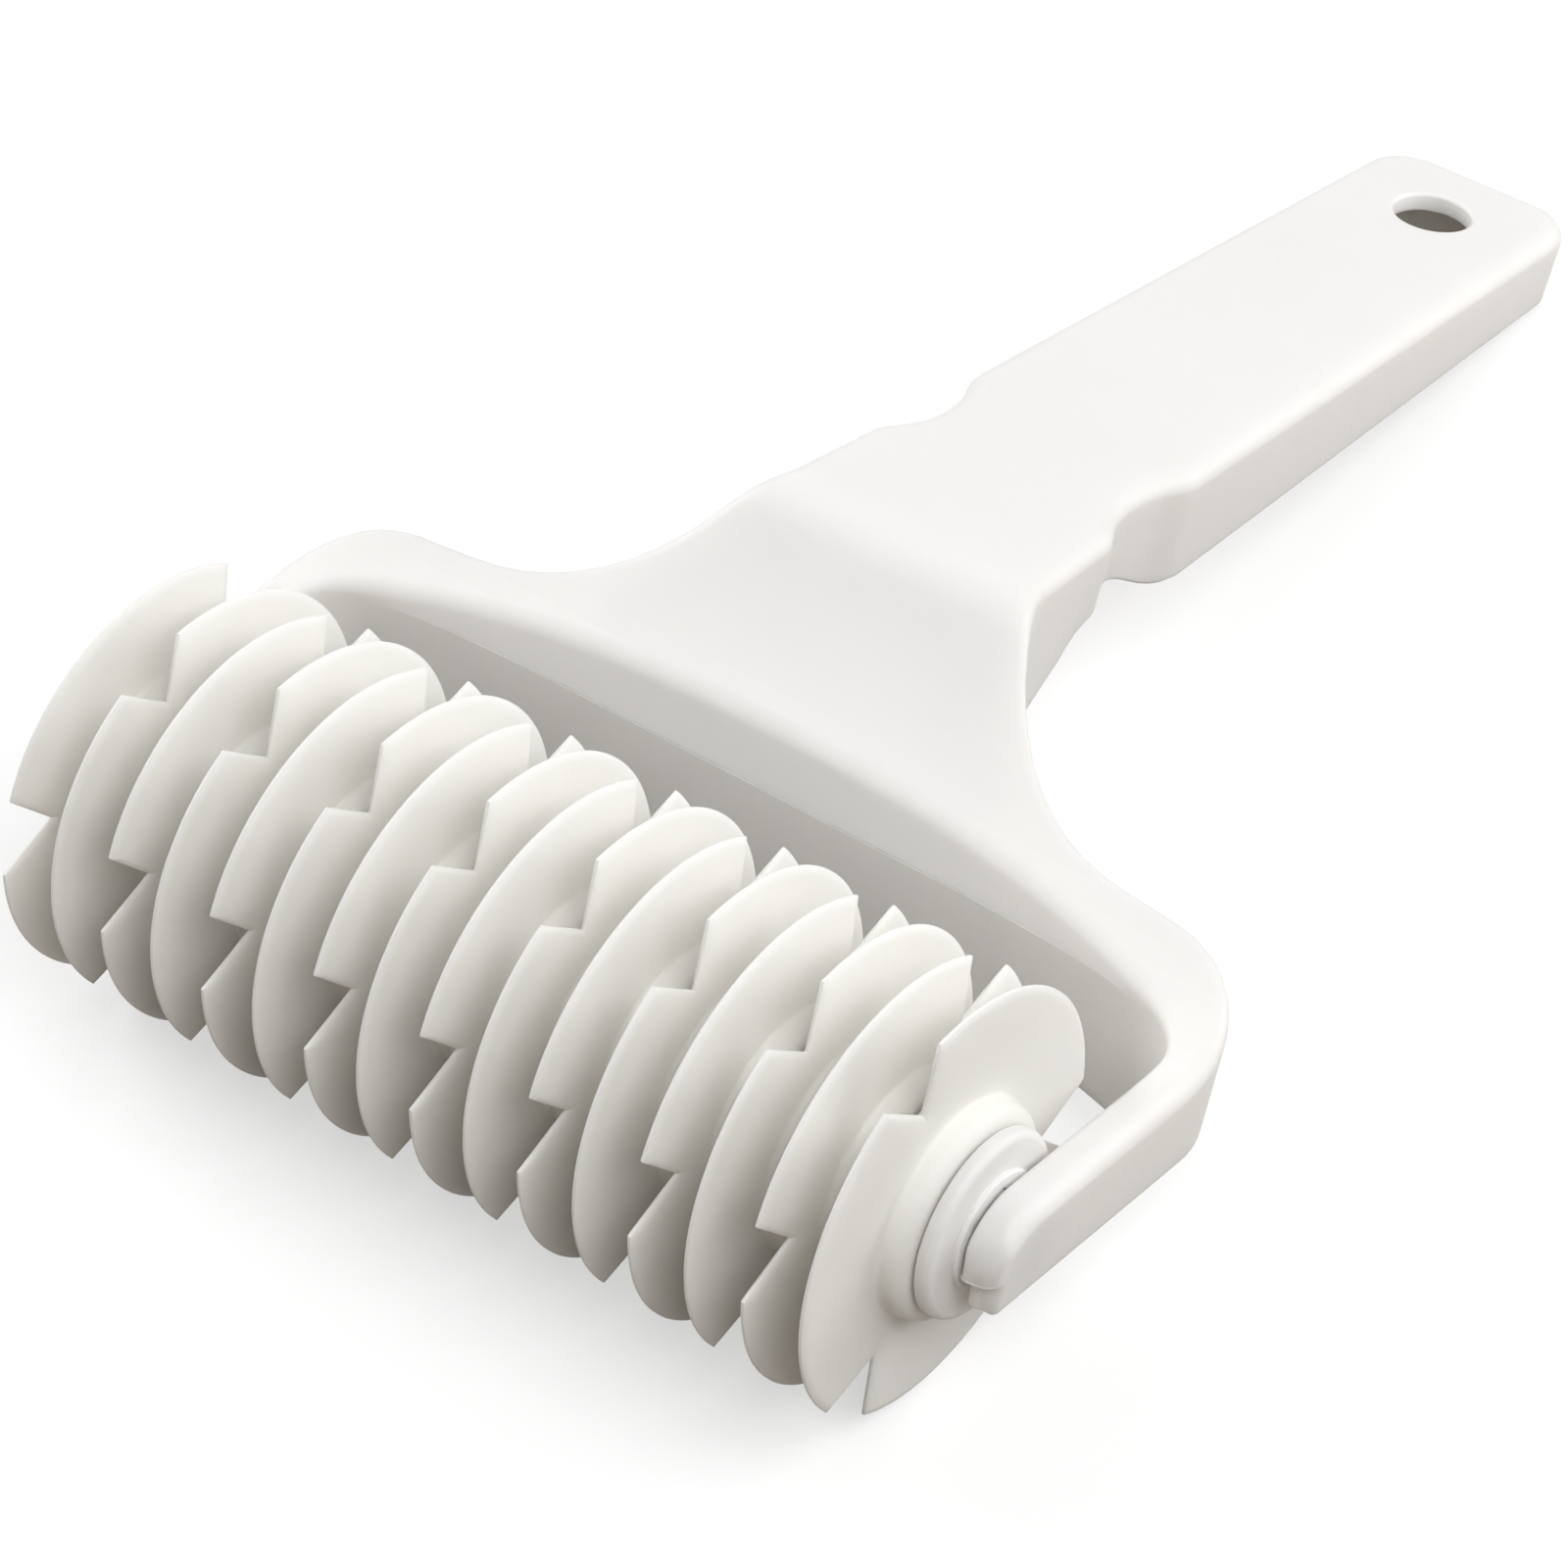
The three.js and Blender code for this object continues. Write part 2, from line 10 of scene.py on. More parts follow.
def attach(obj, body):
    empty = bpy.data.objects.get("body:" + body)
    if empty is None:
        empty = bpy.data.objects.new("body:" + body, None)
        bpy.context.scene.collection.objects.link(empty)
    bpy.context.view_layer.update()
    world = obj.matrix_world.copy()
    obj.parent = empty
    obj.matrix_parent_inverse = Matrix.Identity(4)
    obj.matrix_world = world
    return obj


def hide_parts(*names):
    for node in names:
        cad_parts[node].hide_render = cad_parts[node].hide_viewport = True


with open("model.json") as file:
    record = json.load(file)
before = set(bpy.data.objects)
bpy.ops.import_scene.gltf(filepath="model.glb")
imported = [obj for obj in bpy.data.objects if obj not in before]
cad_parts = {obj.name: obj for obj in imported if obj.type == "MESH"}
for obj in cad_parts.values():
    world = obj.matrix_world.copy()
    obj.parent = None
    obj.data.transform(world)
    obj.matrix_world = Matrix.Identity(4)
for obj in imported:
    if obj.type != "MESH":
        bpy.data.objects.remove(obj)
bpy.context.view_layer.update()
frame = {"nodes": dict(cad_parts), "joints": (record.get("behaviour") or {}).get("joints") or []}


# Fork handle
# One injection moulding in white polypropylene: two arms, a bowed crossbar, a ramp up to the neck and a flat
# grip with a hanging hole. It is hollow from below, and a blind socket in each arm carries the roller.
# Sizes are in millimetres, with the axle at the origin and the grip along +Y, as the tool leaves its mould.
ROLLER_LENGTH = 107.2
CAP_LENGTH = 2.4
ARM_CLEARANCE = 0.4
ARM_THICKNESS = 4.4
ARM_HEIGHT = 11.3
SOCKET_RADIUS = 3.3
SOCKET_DEPTH = 3.0
DISC_RADIUS = 22.7
FRONT_CLEARANCE = 9.5
FRONT_BOW = 5.0
INNER_CORNER = 6.5
SKIRT_DEPTH = 4.6
SKIRT_WALL = 1.1
CROSSBAR_DEPTH = 7.6
SHOULDER_LENGTH = 11.5
SHOULDER_DROP = 0.5
RAMP_LENGTH = 32.5
NECK_LENGTH = 15.5
NECK_WIDTH = 32.8
NECK_FRONT_WIDTH = 31.4
HANDLE_RISE = 26.9
CREASE_BLEND = 4.0
SCALLOP_DISTANCE = 26.7
SCALLOP_WIDTH = 25.4
SCALLOP_LENGTH = 19.4
GRIP_LENGTH = 123.0
GRIP_WIDTH = 29.8
GRIP_END_WIDTH = 26.6
GRIP_END_CORNER = 6.0
GRIP_FALL = 2.9
GRIP_DEPTH = 14.0
GRIP_END_DEPTH = 9.9
FINGER_ARCH = 3.4
SHELL_WALL = 2.2
WALL_DRAFT = 0.8
HANGING_HOLE_RADIUS = 4.7
HANGING_HOLE_INSET = 13.0
OUTER_FILLET = 2.2
REAR_FILLET = 1.0
FRONT_FILLET = 1.5
ARM_INNER_FILLET = 0.7
CEILING_FILLET = 0.8
FOOT_ROUND = 0.4
NOSE_LEAD = 0.4
NOSE_OUTER_ROUND = 2.6
NOSE_INNER_ROUND = 0.9
NOSE_STEP_HEIGHT = -1.9
NOSE_BEAD = 0.14
NOSE_SET_BACK = Vector((0.5, 1.0))
PARTING_HEIGHT = 3.8
PARTING_GROOVE = 0.1
PARTING_DROP = 0.5
FRONT_LEAN = 0.8
HOLE_ROUND = 0.5
CURVE_STEPS = 14
FILLET_STEPS = 6
FOOT_STEPS = 3
HOLE_ROUND_STEPS = 4
SOCKET_TURNS = 48
HOLE_TURNS = 64
SHARP_DEGREES = 35
CLEAR_OF_POINTS = 0.02

arm_inner = ROLLER_LENGTH / 2 + CAP_LENGTH + ARM_CLEARANCE
arm_outer = arm_inner + ARM_THICKNESS
nose_radius = ARM_HEIGHT / 2
nose_y = -nose_radius - NOSE_LEAD
front_y = DISC_RADIUS + FRONT_CLEARANCE
rear_y = front_y + CROSSBAR_DEPTH
crease_y = rear_y + NECK_LENGTH
scallop_y = crease_y + SCALLOP_DISTANCE
grip_end_y = crease_y + GRIP_LENGTH
grip_end_top = HANDLE_RISE - GRIP_FALL
grip_end_bottom = grip_end_top - GRIP_END_DEPTH
hole_y = grip_end_y - HANGING_HOLE_INSET

# The tool lies on its discs and on the foot of the grip's end, so it tips back about the axle
axle_place = Vector(frame["joints"][0]["pos_m"])
end_foot = Vector((grip_end_y - WALL_DRAFT, grip_end_bottom))
tip_back = math.atan2(end_foot.y, end_foot.x) + math.asin(DISC_RADIUS / end_foot.length)
MM = 0.001
lying = Matrix.Translation(axle_place) @ Matrix.Rotation(-tip_back, 4, "X") @ Matrix.Scale(MM, 4)


def mix(a, b, share):
    return a + (b - a) * share


def curve(*controls, steps=CURVE_STEPS):
    """Points of a Bezier curve after its start, or of a straight line from two controls."""
    points = []
    count = 1 if len(controls) == 2 else steps
    for i in range(1, count + 1):
        row = [Vector(c) for c in controls]
        while len(row) > 1:
            row = [a.lerp(b, i / count) for a, b in zip(row, row[1:])]
        points.append(row[0])
    return points


def grip_side(inset):
    """The grip's right side from the middle of its end to the neck, drawn in by an inset."""
    end_half = GRIP_END_WIDTH / 2 - inset
    corner = GRIP_END_CORNER - inset
    end = grip_end_y - inset
    centre = Vector((end_half - corner, end - corner))
    rear = Vector((GRIP_WIDTH / 2 - inset, scallop_y + SCALLOP_LENGTH / 2))
    bottom = Vector((SCALLOP_WIDTH / 2 - inset, scallop_y))
    front = Vector((NECK_FRONT_WIDTH / 2 - inset, scallop_y - SCALLOP_LENGTH / 2))
    reach = Vector((0, 0.3 * SCALLOP_LENGTH))
    points = [Vector((0, end))]
    for i in range(CURVE_STEPS + 1):
        turn = math.pi / 2 * (1 - i / CURVE_STEPS)
        points.append(centre + corner * Vector((math.cos(turn), math.sin(turn))))
    points += curve(points[-1], rear)
    points += curve(rear, rear - reach / 2, bottom + reach, bottom)
    points += curve(bottom, bottom - reach, front + reach / 2, front)
    points += curve(front, (NECK_WIDTH / 2 - inset, crease_y + CREASE_BLEND))
    return points


def fork_side():
    """The handle's right side in plan, from the grip's end to the middle of the crossbar's front. Each point
    carries its place, top rounding, draft, and its share of the crossbar's skirt and of the nose's step."""
    outline = [(p, OUTER_FILLET, WALL_DRAFT, 0.0, 0.0) for p in grip_side(0)]

    def follow(points, *ends):
        start = outline[-1][1:]
        for i, p in enumerate(points, 1):
            outline.append((p, *(mix(a, b, i / len(points)) for a, b in zip(start, ends))))

    neck = outline[-1][0]
    flank = Vector((arm_outer - 1.6 * SHOULDER_LENGTH, rear_y))
    shoulder = Vector((arm_outer - SHOULDER_LENGTH, rear_y - SHOULDER_DROP))
    arm_rear = Vector((arm_outer, rear_y - 1.1 * SHOULDER_LENGTH))
    corner = Vector((arm_inner - INNER_CORNER, front_y))
    corner_start = Vector((arm_inner, front_y - INNER_CORNER))
    middle = Vector((0, front_y + FRONT_BOW))
    step_end = nose_y + ARM_HEIGHT
    follow(curve(neck, (neck.x + 0.1 * NECK_LENGTH, crease_y - 0.16 * NECK_LENGTH),
                 (mix(neck.x, flank.x, 0.4), rear_y + 0.07 * NECK_LENGTH), flank),
           REAR_FILLET, WALL_DRAFT, 0, 0)
    follow(curve(flank, shoulder), REAR_FILLET, WALL_DRAFT, 0, 0)
    follow(curve(shoulder, (shoulder.x + 0.6 * SHOULDER_LENGTH, shoulder.y - SHOULDER_DROP),
                 (arm_outer, arm_rear.y + 0.64 * SHOULDER_LENGTH), arm_rear),
           OUTER_FILLET, WALL_DRAFT, 0, 0)
    follow([Vector((arm_outer, nose_y + NOSE_OUTER_ROUND))], OUTER_FILLET, WALL_DRAFT, 0, 0)
    follow(curve((arm_outer, nose_y + NOSE_OUTER_ROUND), (arm_outer, nose_y),
                 (arm_outer - NOSE_OUTER_ROUND, nose_y), steps=CURVE_STEPS // 2),
           ARM_INNER_FILLET, WALL_DRAFT / 2, 0, 1)
    follow([Vector((arm_inner + NOSE_INNER_ROUND, nose_y))], ARM_INNER_FILLET, 0, 0, 1)
    follow(curve((arm_inner + NOSE_INNER_ROUND, nose_y), (arm_inner, nose_y),
                 (arm_inner, nose_y + NOSE_INNER_ROUND), steps=4), ARM_INNER_FILLET, 0, 0, 1)
    follow([Vector((arm_inner, step_end))], ARM_INNER_FILLET, 0, 0, 0)
    follow([corner_start], ARM_INNER_FILLET, 0, 0, 0)
    follow(curve(corner_start, (arm_inner, front_y - 0.4 * INNER_CORNER),
                 (corner.x + 0.5 * INNER_CORNER, front_y - 0.18 * INNER_CORNER), corner),
           FRONT_FILLET, WALL_DRAFT, 1, 0)
    follow(curve(corner, (0.8 * corner.x, front_y + 0.48 * FRONT_BOW), (0.6 * corner.x, middle.y), middle,
                 steps=2 * CURVE_STEPS), FRONT_FILLET, WALL_DRAFT, 1, 0)
    return outline


def hollow_side():
    """Plan of the hollow under the grip and neck, right side."""
    points = grip_side(SHELL_WALL)
    neck = points[-1]
    front = front_y + FRONT_BOW + SHELL_WALL
    corner = Vector((neck.x + 0.8 * NECK_LENGTH, rear_y + 0.4 * CROSSBAR_DEPTH))
    points += curve(neck, (neck.x + 0.1 * NECK_LENGTH, crease_y - 0.16 * NECK_LENGTH),
                    (neck.x + 0.4 * NECK_LENGTH, corner.y + SHELL_WALL), corner)
    points += [Vector((corner.x - SHELL_WALL, front)), Vector((0, front))]
    return [(p, CEILING_FILLET, 0.0, 0.0, 0.0) for p in points]


def top_line():
    """The handle's top in side view, as (y, z) points."""
    bend = Vector((crease_y - 0.6 * RAMP_LENGTH, nose_radius))
    crease = Vector((crease_y, HANDLE_RISE))
    ramp_end = crease + (bend - crease).normalized() * CREASE_BLEND
    points = [Vector((nose_y, 0))]
    points += curve(points[-1], (nose_y, 0.46 * nose_radius), (-0.57 * nose_radius, nose_radius),
                    (0.1 * nose_radius, nose_radius))
    points += [Vector((crease_y - RAMP_LENGTH, nose_radius))]
    points += curve(points[-1], bend, ramp_end)
    points += curve(ramp_end, crease, (crease_y + CREASE_BLEND, HANDLE_RISE))
    return points + [Vector((grip_end_y, grip_end_top))]


def bottom_line():
    """The handle's underside in side view, with the arch for the forefinger."""
    grip_bottom = HANDLE_RISE - GRIP_DEPTH
    belly = Vector((crease_y + 0.415 * SCALLOP_DISTANCE, grip_bottom))
    arch_top = Vector((scallop_y - 0.25 * SCALLOP_LENGTH, grip_bottom + FINGER_ARCH))
    arch_end = Vector((scallop_y + 0.42 * SCALLOP_LENGTH, grip_bottom - 0.03 * GRIP_DEPTH))
    reach = 0.15 * SCALLOP_LENGTH
    points = [Vector((nose_y, -0.75 * nose_radius))]
    points += curve(points[-1], (nose_y, -nose_radius), (0.7 * nose_y, -nose_radius))
    points += [Vector((front_y - 0.3 * INNER_CORNER, -nose_radius))]
    points += curve(points[-1], (rear_y + 0.1 * NECK_LENGTH, -nose_radius),
                    (belly.x - 0.3 * SCALLOP_DISTANCE, belly.y - 0.3 * GRIP_DEPTH), belly)
    points += curve(belly, (belly.x + 0.75 * reach, belly.y + 0.4 * FINGER_ARCH),
                    (arch_top.x - 2.9 * reach, arch_top.y), arch_top)
    points += curve(arch_top, (arch_top.x + 2.1 * reach, arch_top.y),
                    (arch_end.x - 1.4 * reach, arch_end.y - 0.07 * GRIP_DEPTH), arch_end)
    return points + [Vector((grip_end_y, grip_end_bottom))]


def height_at(line, y):
    """Height of a side-view line at one y."""
    right = next((i for i, p in enumerate(line) if p.x >= y and i), len(line) - 1)
    a, b = line[right - 1], line[right]
    return mix(a.y, b.y, min(max((y - a.x) / (b.x - a.x), 0), 1))


def inward_at(places, i):
    """Direction from an outline point into the body, long enough to keep an inset even round a corner."""
    here = places[i]
    before = places[i - 1] if i else Vector((-places[1].x, places[1].y))
    after = places[i + 1] if i + 1 < len(places) else Vector((-before.x, before.y))
    a = Vector((here.y - before.y, before.x - here.x)).normalized()
    b = Vector((after.y - here.y, here.x - after.x)).normalized()
    between = (a + b).normalized()
    return between / between.dot(a)


def moulding(outline, top_drop=0.0, foot_drop=0.0, foot_round=0.0):
    """Faces of a form that is alike on both sides of the middle line, from the plan of its right side. Rings
    of points run round it from the foot up its wall and over the rounded edge, and flat strips close it."""
    top, bottom = top_line(), bottom_line()
    places = [p for p, *_ in outline]
    inward = [inward_at(places, i) for i in range(len(places))]

    def top_at(y):
        return height_at(top, y) - top_drop

    def foot_at(y):
        return height_at(bottom, y) - foot_drop

    def band_share(y):
        """How much of the leaning band above the parting line there is: none at the corners."""
        return min(max((y - front_y) / FRONT_BOW, 0), 1)

    # Each ring is a rule that gives a point's inset, height and set-back from its finish
    def on_skirt(depth):
        return lambda y, fillet, draft, skirt, step: (
            draft + foot_round + SKIRT_WALL * skirt, foot_at(y) - depth * skirt, step)

    def on_foot(angle):
        return lambda y, fillet, draft, skirt, step: (
            draft + foot_round * (1 - math.sin(angle)),
            foot_at(y) - SKIRT_DEPTH * skirt + foot_round * (1 - math.cos(angle)), step)

    def on_wall(side):
        def rule(y, fillet, draft, skirt, step):
            wall_top = top_at(y) - fillet
            half_way = (wall_top + foot_at(y) + foot_round) / 2
            height = mix(half_way, wall_top - PARTING_DROP, max(skirt, 1 - draft / WALL_DRAFT))
            height = mix(height, PARTING_HEIGHT, band_share(y) * skirt)
            height = mix(height, NOSE_STEP_HEIGHT, step)
            groove = 0 if side else PARTING_GROOVE * band_share(y) * skirt - NOSE_BEAD * step
            inset = mix(draft / 2, 0, skirt) + groove
            return inset, height + side * PARTING_GROOVE, step if side < 0 else 0
        return rule

    def on_edge(angle):
        return lambda y, fillet, draft, skirt, step: (
            FRONT_LEAN * band_share(y) * skirt + fillet * (1 - math.cos(angle)),
            top_at(y) - fillet * (1 - math.sin(angle)), 0)

    rules = []
    if foot_round:
        rules += [on_skirt(0), on_skirt(SKIRT_DEPTH)]
        rules += [on_foot(math.pi / 2 * k / FOOT_STEPS) for k in range(FOOT_STEPS + 1)]
        rules += [on_wall(side) for side in (-1, 0, 1)]
    else:
        rules += [on_foot(math.pi / 2)]
    rules += [on_edge(math.pi / 2 * k / FILLET_STEPS) for k in range(FILLET_STEPS + 1)]

    def ring_place(rule, i):
        inset, _, set_back = rule(places[i].y, *outline[i][1:])
        across = (arm_outer - places[i].x) / ARM_THICKNESS
        back = Vector((NOSE_SET_BACK.x * across, NOSE_SET_BACK.y)) * set_back
        return places[i] + inward[i] * inset + back

    rings = [[ring_place(rule, i) for i in range(len(places))] for rule in rules]
    taken = sorted(p.y for ring in (rings[0], rings[-1]) for p in ring)
    bends = []
    for y in sorted(p.x for p in top + bottom):
        while any(abs(y - other) < CLEAR_OF_POINTS for other in taken):
            y += CLEAR_OF_POINTS
        if not bends or y - bends[-1] >= CLEAR_OF_POINTS:
            bends.append(y)

    def row(level, i):
        """One ring's points along one stretch of the outline, with their share of the way."""
        a, b = rings[level][i], rings[level][i + 1]
        shares = sorted(t for t in ((y - a.y) / (b.y - a.y) for y in bends if b.y != a.y) if 0 < t < 1)
        points = []
        for t in (0, *shares, 1):
            p = a.lerp(b, t)
            finish = [mix(u, v, t) for u, v in zip(outline[i][1:], outline[i + 1][1:])]
            points.append((t, Vector((p.x, p.y, rules[level](p.y, *finish)[1]))))
        return points

    faces = []
    edges = ([], [])
    for i in range(len(places) - 1):
        rows = [row(level, i) for level in range(len(rules))]
        for lower, upper in zip(rows, rows[1:]):
            low = high = 0
            while low + high < len(lower) + len(upper) - 2:
                climb = high + 1 < len(upper)
                if climb and low + 1 < len(lower):
                    climb = upper[high + 1][0] <= lower[low + 1][0]
                ahead = upper[high + 1] if climb else lower[low + 1]
                faces.append([lower[low][1], upper[high][1], ahead[1]])
                high, low = (high + 1, low) if climb else (high, low + 1)
        for edge, end in zip(edges, (rows[0], rows[-1])):
            edge += [p for _, p in end[1 if i else 0:]]

    def cap(edge, height):
        """Flat strips between neighbouring bends, so that the cap follows the side view."""
        spine = [Vector((0, y, height(y))) for y in bends if edge[-1].y < y < edge[0].y]
        loop = edge + spine
        margin = CLEAR_OF_POINTS / 2
        strips = []
        for near, far in zip([-math.inf] + bends, bends + [math.inf]):
            strip = [p for p in loop if near - margin < p.y < far + margin]
            if len(strip) > 2:
                flat = [Vector((p.x, p.y, 0)) for p in strip]
                strips += [[strip[k] for k in face] for face in tessellate_polygon([flat])]
        return strips

    def wound(face, up):
        normal = (face[1] - face[0]).cross(face[2] - face[0])
        return face if (normal.z > 0) == up else face[::-1]

    faces += [wound(face, True) for face in cap(edges[1], top_at)]
    faces += [wound(face, False) for face in cap(edges[0], foot_at)]
    return faces + [[Vector((-p.x, p.y, p.z)) for p in reversed(face)] for face in faces]


def new_piece(name, faces, place=lying):
    """A mesh object from faces that are lists of points, with equal points made one."""
    index, corners, polygons = {}, [], []
    for face in faces:
        polygon = []
        for p in face:
            key = tuple(round(c, 4) for c in p)
            if key not in index:
                index[key] = len(corners)
                corners.append(place @ Vector(key))
            if index[key] not in polygon:
                polygon.append(index[key])
        if len(polygon) > 2:
            polygons.append(polygon)
    mesh = bpy.data.meshes.new(name)
    mesh.from_pydata(corners, [], polygons)
    form = bmesh.new()
    form.from_mesh(mesh)
    bmesh.ops.recalc_face_normals(form, faces=form.faces)
    form.to_mesh(mesh)
    form.free()
    piece = bpy.data.objects.new(name, mesh)
    bpy.context.scene.collection.objects.link(piece)
    return piece


def turned(profile, turns, axis="X"):
    """Faces of a body turned about an axis through the origin, from (radius, length) points that start and
    end on that axis."""
    swing = [Matrix.Rotation(2 * math.pi * k / turns, 3, axis) for k in range(turns)]
    along = Vector((1, 0, 0)) if axis == "X" else Vector((0, 0, 1))
    across = Vector((0, 1, 0)) if axis == "X" else Vector((1, 0, 0))
    rows = [[m @ (across * r + along * length) for r, length in profile] for m in swing]
    faces = []
    for a, b in zip(rows, rows[1:] + rows[:1]):
        for k in range(len(profile) - 1):
            faces.append([a[k], a[k + 1], b[k + 1], b[k]])
    return faces


def carve(body, cutter):
    """Takes the cutter's form out of the body."""
    cut = body.modifiers.new("carve", "BOOLEAN")
    cut.operation = "DIFFERENCE"
    cut.solver = "EXACT"
    cut.object = cutter
    shaped = body.evaluated_get(bpy.context.evaluated_depsgraph_get())
    carved = bpy.data.meshes.new_from_object(shaped)
    body.modifiers.clear()
    body.data = carved
    bpy.data.objects.remove(cutter)


def smooth(piece):
    """Even shading over the faces, with the real edges kept crisp."""
    piece.data.shade_smooth()
    piece.data.set_sharp_from_angle(angle=math.radians(SHARP_DEGREES))
    even = piece.modifiers.new("even", "WEIGHTED_NORMAL")
    even.keep_sharp = True


handle = new_piece("fork_handle_shell", moulding(fork_side(), foot_round=FOOT_ROUND))
carve(handle, new_piece("hollow", moulding(hollow_side(), top_drop=SHELL_WALL, foot_drop=ARM_HEIGHT)))
for side in (1, -1):
    socket = [(0, -ARM_CLEARANCE), (SOCKET_RADIUS, -ARM_CLEARANCE),
              (SOCKET_RADIUS, SOCKET_DEPTH), (0, SOCKET_DEPTH)]
    shift = Matrix.Rotation(math.pi * (side < 0), 4, "Z") @ Matrix.Translation((arm_inner, 0, 0))
    carve(handle, new_piece("socket", turned(socket, SOCKET_TURNS), lying @ shift))
hole_top = mix(HANDLE_RISE, grip_end_top, (hole_y - crease_y - CREASE_BLEND) / (GRIP_LENGTH - CREASE_BLEND))
hole = [(0, -GRIP_DEPTH), (HANGING_HOLE_RADIUS, -GRIP_DEPTH)]
for k in range(HOLE_ROUND_STEPS + 1):
    lift = math.pi / 2 * k / HOLE_ROUND_STEPS
    hole.append((HANGING_HOLE_RADIUS + HOLE_ROUND * (1 - math.cos(lift)), HOLE_ROUND * (math.sin(lift) - 1)))
hole += [(HANGING_HOLE_RADIUS + 3 * HOLE_ROUND, HOLE_ROUND), (0, HOLE_ROUND)]
grip_slope = math.atan2(GRIP_FALL, GRIP_LENGTH - CREASE_BLEND)
shift = Matrix.Translation((0, hole_y, hole_top)) @ Matrix.Rotation(-grip_slope, 4, "X")
carve(handle, new_piece("hanging_hole", turned(hole, HOLE_TURNS, axis="Z"), lying @ shift))
smooth(handle)


def linear(code):
    """An sRGB hex colour as linear RGBA."""
    channels = [int(code[k:k + 2], 16) / 255 for k in (1, 3, 5)]
    return [c / 12.92 if c <= 0.04045 else ((c + 0.055) / 1.055) ** 2.4 for c in channels] + [1]


def node(tree, kind, settings=None, **links):
    """Adds a node, sets its own settings, and fills its inputs with values or with other nodes' outputs."""
    made = tree.nodes.new(kind)
    for name, value in (settings or {}).items():
        setattr(made, name, value)
    for name, value in links.items():
        entry = made.inputs[int(name[1:]) if name[0] == "_" else name.replace("_", " ")]
        if isinstance(value, bpy.types.NodeSocket):
            tree.links.new(value, entry)
        else:
            entry.default_value = value
    return made


def per_mm(size):
    """Noise scale, in repeats a metre, for a pattern of that size in millimetres."""
    return 1 / (size * MM)


# Moulded polypropylene, from a steel mould with a fine spark-eroded grain: a dull satin sheen, faint clouds
# where the melt cooled, and a milky white, because light goes a little way in and softens thin edges. The
# grain is drawn coarser than the real one, so that it shows at all.
GRAIN_SIZE = 0.5
GRAIN_HEIGHT = 0.02
MILKY_DEPTH = 2.5
POLYPROPYLENE_IOR = 1.49


def moulded_polypropylene(name, pale, deep, roughness, cloud_mm, milkiness, edge=None):
    material = bpy.data.materials.new(name)
    material.use_nodes = True
    tree = material.node_tree
    tree.nodes.clear()
    place = node(tree, "ShaderNodeTexCoord").outputs["Object"]
    clouds = node(tree, "ShaderNodeTexNoise", Vector=place, Scale=per_mm(cloud_mm), Detail=3.0,
                  Roughness=0.55)
    grain = node(tree, "ShaderNodeTexNoise", Vector=place, Scale=per_mm(GRAIN_SIZE), Detail=2.0,
                 Roughness=0.6)
    colour = node(tree, "ShaderNodeMix", {"data_type": "RGBA"}, Factor=clouds.outputs["Fac"], _6=linear(deep),
                  _7=linear(pale)).outputs[2]
    # An edge colour, when given, paints the blade's outer rim paler: a painted highlight where light catches
    # the thin bevelled edge.
    if edge:
        rim = node(tree, "ShaderNodeAttribute", {"attribute_name": "rim"}).outputs["Fac"]
        colour = node(tree, "ShaderNodeMix", {"data_type": "RGBA"}, Factor=rim, _6=colour,
                      _7=linear(edge)).outputs[2]
    sheen = node(tree, "ShaderNodeMapRange", Value=grain.outputs["Fac"], From_Min=0.25, From_Max=0.75,
                 To_Min=roughness - 0.05, To_Max=roughness + 0.06)
    bump = node(tree, "ShaderNodeBump", Height=grain.outputs["Fac"], Strength=0.12,
                Distance=GRAIN_HEIGHT * MM)
    shader = node(tree, "ShaderNodeBsdfPrincipled", Base_Color=colour, Roughness=sheen.outputs["Result"],
                  Normal=bump.outputs["Normal"], IOR=POLYPROPYLENE_IOR, Subsurface_Weight=milkiness,
                  Subsurface_Scale=MILKY_DEPTH * MM, Subsurface_Radius=(1.0, 0.95, 0.88))
    node(tree, "ShaderNodeOutputMaterial", Surface=shader.outputs["BSDF"])
    return material


handle_plastic = moulded_polypropylene("white_moulded_polypropylene", "#f7f5f3", "#f2f0ed", roughness=0.5,
                                       cloud_mm=22, milkiness=0.55)
handle.data.materials.clear()
handle.data.materials.append(handle_plastic)
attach(handle, "frame")
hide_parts("fork_handle")


# Axle shaft
# A hexagonal polypropylene bar that keys the discs, with a round journal at each end that runs in an arm's
# socket. It is hidden in the hubs, apart from a sliver between the end caps and the arms.
frame["nodes"]["axle_shaft"].data.materials.clear()
frame["nodes"]["axle_shaft"].data.materials.append(handle_plastic)


# Cutting discs
# Sixteen thin blades in ivory polypropylene, each moulded in one piece with a round-shouldered hub and with
# three V notches that leave the dough uncut. They are threaded on the shaft, every second one turned half a
# notch spacing, so that the slits make a lattice.
DISC_COUNT = 16
BLADE_THICKNESS = 1.0
RIM_THICKNESS = 0.4
RIM_BEVEL = 0.9
NOTCH_COUNT = 3
NOTCH_DEPTH = 6.8
NOTCH_WIDTH = 8.6
NOTCH_BEVEL = 0.6
HUB_RADIUS = 11.5
HUB_SHOULDER = 1.5
HUB_FACE_GAP = 0.3
ROLLER_TURN = math.radians(4.9)
SHAFT_ACROSS_FLATS = 8.0
SHAFT_FIT = 0.3
ROOT_FILLET = 0.5
RIM_STEP = math.radians(3)
FLANK_STEPS = 6
SHOULDER_STEPS = 5
ROOT_STEPS = 3
bore_across_flats = SHAFT_ACROSS_FLATS + 2 * SHAFT_FIT * math.cos(math.pi / 6)
disc_pitch = ROLLER_LENGTH / DISC_COUNT
notch_spacing = 2 * math.pi / NOTCH_COUNT


